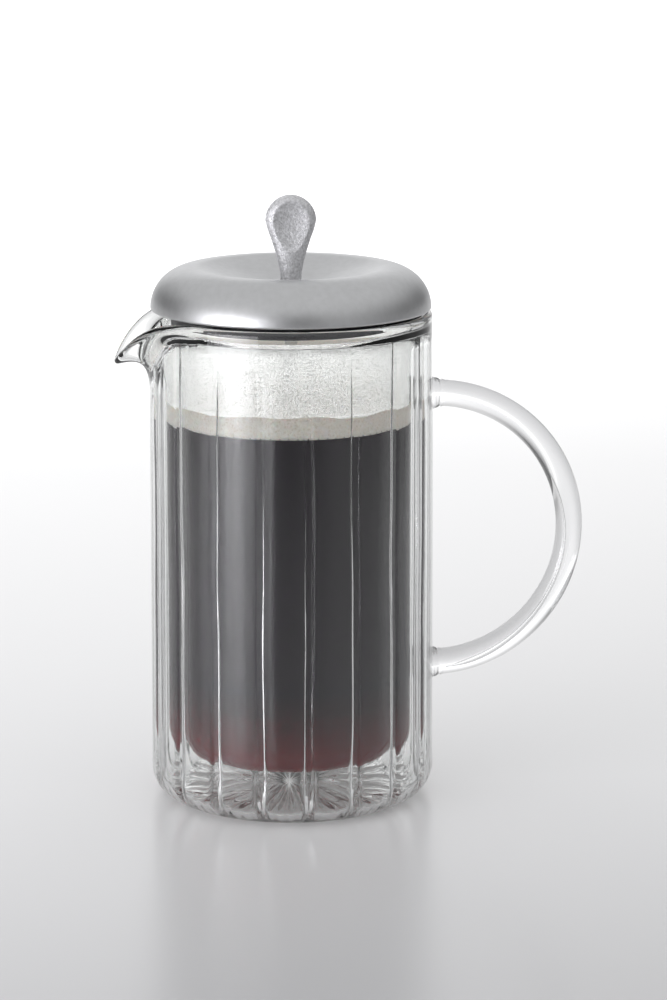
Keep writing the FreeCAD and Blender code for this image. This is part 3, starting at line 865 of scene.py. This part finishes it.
def make_knob():
    """A flat drop-shaped knob on a round neck, with a thumb dish in its front."""
    low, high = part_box("knob")
    foot, top, wide = low[2] / MM, high[2] / MM, high[0] / MM
    neck, neck_radius = foot_of("knob_nut"), 3.5
    head, head_depth, foot_radius = top - wide, 4.0, 3.65
    half_widths = [(foot, foot_radius), (foot + 5.3, 4.75), (foot + 12, 6.8),
                   (foot + 15.6, 8.1), (head, wide)]
    half_depths = [(foot, foot_radius), (foot + 6, 3.9), (foot + 12, 4.05), (head, head_depth)]
    dish_z, dish_w, dish_up, dish_down, dish_depth = head - 0.2, 6.5, 7.2, 10.6, 1.9

    def dish(x, z):
        tall = dish_up if z > dish_z else dish_down
        across = dish_w * (1 - 0.18 * smooth(0, dish_down, dish_z - z))
        share = math.hypot(x / across, (z - dish_z) / tall)
        return dish_depth * max(0.0, 1 - share ** 2.2) ** 1.1 if share < 1 else 0.0

    levels = [(neck + 0.2, 3.62, 3.62), (foot - 0.1, foot_radius, foot_radius)]
    for k in range(90):
        z = foot + (head - foot) * k / 90
        levels.append((z, spline(half_widths, z), spline(half_depths, z)))
    for k in range(0, 46):
        turn = math.pi / 2 * k / 46
        levels.append((head + wide * math.sin(turn), wide * math.cos(turn),
                       head_depth * math.cos(turn) ** 0.62))
    sides = 160
    rows = [[polar(0, 0, neck)], circle(neck_radius, neck, sides)]
    for z, w, d in levels:
        ring = []
        power = 1.0 if z < foot + 4 else 0.86
        for j in range(sides):
            a = 2 * math.pi * j / sides
            c, s = math.cos(a), math.sin(a)
            x = w * math.copysign(abs(c) ** power, c)
            y = d * math.copysign(abs(s) ** power, s)
            if y < 0:
                y = min(y + dish(x, z), -0.9 if d > 1.2 else y)
            ring.append((x * MM, y * MM, z * MM))
        rows.append(ring)
    rows.append([polar(0, 0, top)])
    verts, faces = [], []
    add_shell(verts, faces, rows)
    knob = new_piece("thumb_knob", verts, faces)
    return finish_piece(knob, CAST, "plunger", ("knob", "knob_nut"))


def make_edge_spring():
    """A coil spring bent into a ring round the filter's edge."""
    low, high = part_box("edge_spring")
    wire = 0.32
    coil = (high[2] - low[2]) / MM / 2 - wire
    circle_radius = high[1] / MM - coil - wire
    z = (high[2] + low[2]) / MM / 2
    turns, steps = 150, 10
    path = []
    for k in range(turns * steps):
        around = 2 * math.pi * k / (turns * steps)
        a = 2 * math.pi * k / steps
        r = circle_radius + coil * math.cos(a)
        path.append((r * math.cos(around), r * math.sin(around), z + coil * math.sin(a)))
    spring = tube("coil_spring", path, [wire] * len(path), 6, closed=True)
    return finish_piece(spring, SPRING, "plunger", ("edge_spring",))


def make_filter_mesh():
    """Plain-woven wire: two layers of waved wires crossing over and under each other."""
    low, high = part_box("filter_mesh")
    z = (high[2] + low[2]) / MM / 2
    hem = 0.5
    radius = high[1] / MM - hem
    pitch, wire, wave, hub = 1.0, 0.13, 0.07, 2.0
    verts, faces = [], []
    count = int(radius / pitch)
    for direction in (0, 1):
        for k in range(-count, count + 1):
            across = k * pitch
            reach = math.sqrt(max(0.0, radius * radius - across * across))
            steps = max(2, int(reach / pitch))
            if abs(across) < hub or reach < 2 * pitch:
                continue
            rows = []
            for j in range(-steps, steps + 1):
                along = j * pitch
                up = wave * (1 if (j + k + direction) % 2 else -1)
                ring = []
                for side in range(4):
                    a = math.pi / 4 + math.pi / 2 * side
                    dy, dz = wire * math.cos(a), wire * math.sin(a)
                    spot = (along, across + dy) if direction == 0 else (across + dy, along)
                    ring.append((spot[0] * MM, spot[1] * MM, (z + up + dz) * MM))
                rows.append(ring)
            ends = [tuple(sum(v[i] for v in row) / 4 for i in range(3))
                    for row in (rows[0], rows[-1])]
            add_shell(verts, faces, [[ends[0]]] + rows + [[ends[1]]])
    mesh = new_piece("woven_mesh", verts, faces)
    finish_piece(mesh, WIRE, "plunger", ("filter_mesh",))
    hem_in, hem_out, hem_half, hem_round = radius - 1.2, radius + hem, 0.2, 0.1
    edge = turned_piece("mesh_hem", rounded([
        (hem_in, z - hem_half, hem_round), (hem_out, z - hem_half, hem_round),
        (hem_out, z + hem_half, hem_round), (hem_in, z + hem_half, hem_round)],
        3, closed=True), 128, ring=True)
    finish_piece(edge, STEEL, "plunger")


def dress_cad_nodes():
    looks = {"lid_liner": LINER, "lid_seal": RUBBER, "rod_bush": BUSH}
    for node in ("liner_screws", "bush_clip", "plunger_rod", "spring_plate", "cross_plate",
                 "hub_washer", "hub_nut"):
        looks[node] = STEEL
    for node, look in looks.items():
        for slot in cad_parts[node].material_slots:
            slot.material = look.material


# ------------------------------------------------------------------ studio

def make_floor():
    """A wide floor, a tenth of a millimetre below the vessel's underside."""
    half, front, back, level = 8, -8, 12, -0.0001
    verts = [(-half, front, level), (half, front, level), (half, back, level),
             (-half, back, level)]
    floor = new_piece("studio_floor_painted_light", verts, [(0, 1, 2, 3)], smooth=False)
    wear(floor, floor_painted_light_look())


def make_world():
    """A light tent: white behind, pale above, with light and dark bands on the other sides."""
    world = bpy.data.worlds.new("studio")
    bpy.context.scene.world = world
    world.use_nodes = True
    nodes, links = world.node_tree.nodes, world.node_tree.links
    background = nodes["Background"]
    where = nodes.new("ShaderNodeTexCoord")
    parts = nodes.new("ShaderNodeSeparateXYZ")
    links.new(where.outputs["Generated"], parts.inputs["Vector"])

    def maths(operation, first, second):
        made = nodes.new("ShaderNodeMath")
        made.operation = operation
        for socket, value in zip(made.inputs, (first, second)):
            if isinstance(value, (int, float)):
                socket.default_value = value
            else:
                links.new(value, socket)
        return made.outputs[0]

    def ramp(source, stops):
        made = nodes.new("ShaderNodeValToRGB")
        set_stops(made, [(place, (value, value, value * 1.01)) for place, value in stops])
        links.new(source, made.inputs["Fac"])
        return made.outputs["Color"]

    # 0.5 faces the camera's side (-Y), 0.75 is +X, 0.25 is -X, 0 and 1 are +Y
    front = maths("MULTIPLY", parts.outputs["Y"], -1.0)
    azimuth = maths("ARCTAN2", parts.outputs["X"], front)
    place = maths("ADD", maths("DIVIDE", azimuth, 2 * math.pi), 0.5)
    around = ramp(place, [(0.0, 1.3), (0.03, 1.05), (0.07, 0.36), (0.13, 0.08), (0.21, 0.09),
                          (0.25, 0.85), (0.30, 0.95), (0.36, 0.62), (0.42, 0.30), (0.455, 0.06),
                          (0.51, 0.05), (0.53, 0.25), (0.59, 0.55), (0.68, 0.38), (0.76, 0.18),
                          (0.88, 0.14), (0.94, 0.9), (1.0, 1.3)])
    overhead = ramp(parts.outputs["Z"], [(0.0, 0.0), (0.24, 0.0), (0.58, 1.0), (1.0, 1.0)])
    mixed = nodes.new("ShaderNodeMix")
    mixed.data_type = "RGBA"
    links.new(overhead, mixed.inputs["Factor"])
    links.new(around, mixed.inputs["A"])
    mixed.inputs["B"].default_value = (0.74, 0.74, 0.745, 1.0)
    links.new(mixed.outputs["Result"], background.inputs["Color"])
    background.inputs["Strength"].default_value = 1.0


def add_softbox(name, spot, target, size, power):
    data = bpy.data.lights.new(name, "AREA")
    data.shape = "RECTANGLE"
    data.size, data.size_y = size
    data.energy = power
    data.color = (0.97, 0.965, 1.0)
    lamp = bpy.data.objects.new(name, data)
    bpy.context.scene.collection.objects.link(lamp)
    lamp.location = spot
    lamp.rotation_euler = (Vector(target) - Vector(spot)).to_track_quat("-Z", "Y").to_euler()


def make_lights():
    """One soft light at the left front, brighter towards its middle."""
    target = (0, 0, 0.10)
    for name, spot, size, power in (("left_wide", (-0.80, -0.60, 0.20), (0.82, 0.40), 3.7),
                                    ("left_mid", (-0.81, -0.608, 0.12), (0.54, 0.24), 1.0),
                                    ("left_core", (-0.82, -0.616, 0.12), (0.28, 0.24), 0.4)):
        add_softbox(name, spot, target, size, power)


def make_camera():
    """The viewing angle: a long lens, a little above, the handle turned slightly away."""
    azimuth, pitch, distance = math.radians(-6.5), math.radians(12.3), 1.117
    aim_height, aim_aside = 0.106, 0.0149
    right = Vector((math.cos(azimuth), math.sin(azimuth), 0))
    back = Vector((math.sin(azimuth) * math.cos(pitch), -math.cos(azimuth) * math.cos(pitch),
                   math.sin(pitch)))
    target = right * aim_aside + Vector((0, 0, aim_height))
    data = bpy.data.cameras.new("view")
    data.lens, data.sensor_width = 113.4, 36.0
    camera = bpy.data.objects.new("view", data)
    bpy.context.scene.collection.objects.link(camera)
    camera.location = target + back * distance
    camera.rotation_euler = (-back).to_track_quat("-Z", "Y").to_euler()
    bpy.context.scene.camera = camera


def set_light_paths():
    """Enough bounces for light to cross the double wall and the handle."""
    scene = bpy.context.scene
    scene.view_settings.view_transform = "Standard"
    scene.cycles.max_bounces = 28
    scene.cycles.transmission_bounces = 28
    scene.cycles.glossy_bounces = 8
    scene.cycles.diffuse_bounces = 3
    scene.cycles.caustics_refractive = True


make_vessel()
make_handle()
make_coffee()
make_foam()
make_mist()
make_lid()
make_knob()
make_edge_spring()
make_filter_mesh()
dress_cad_nodes()
make_floor()
make_world()
make_lights()
make_camera()
set_light_paths()
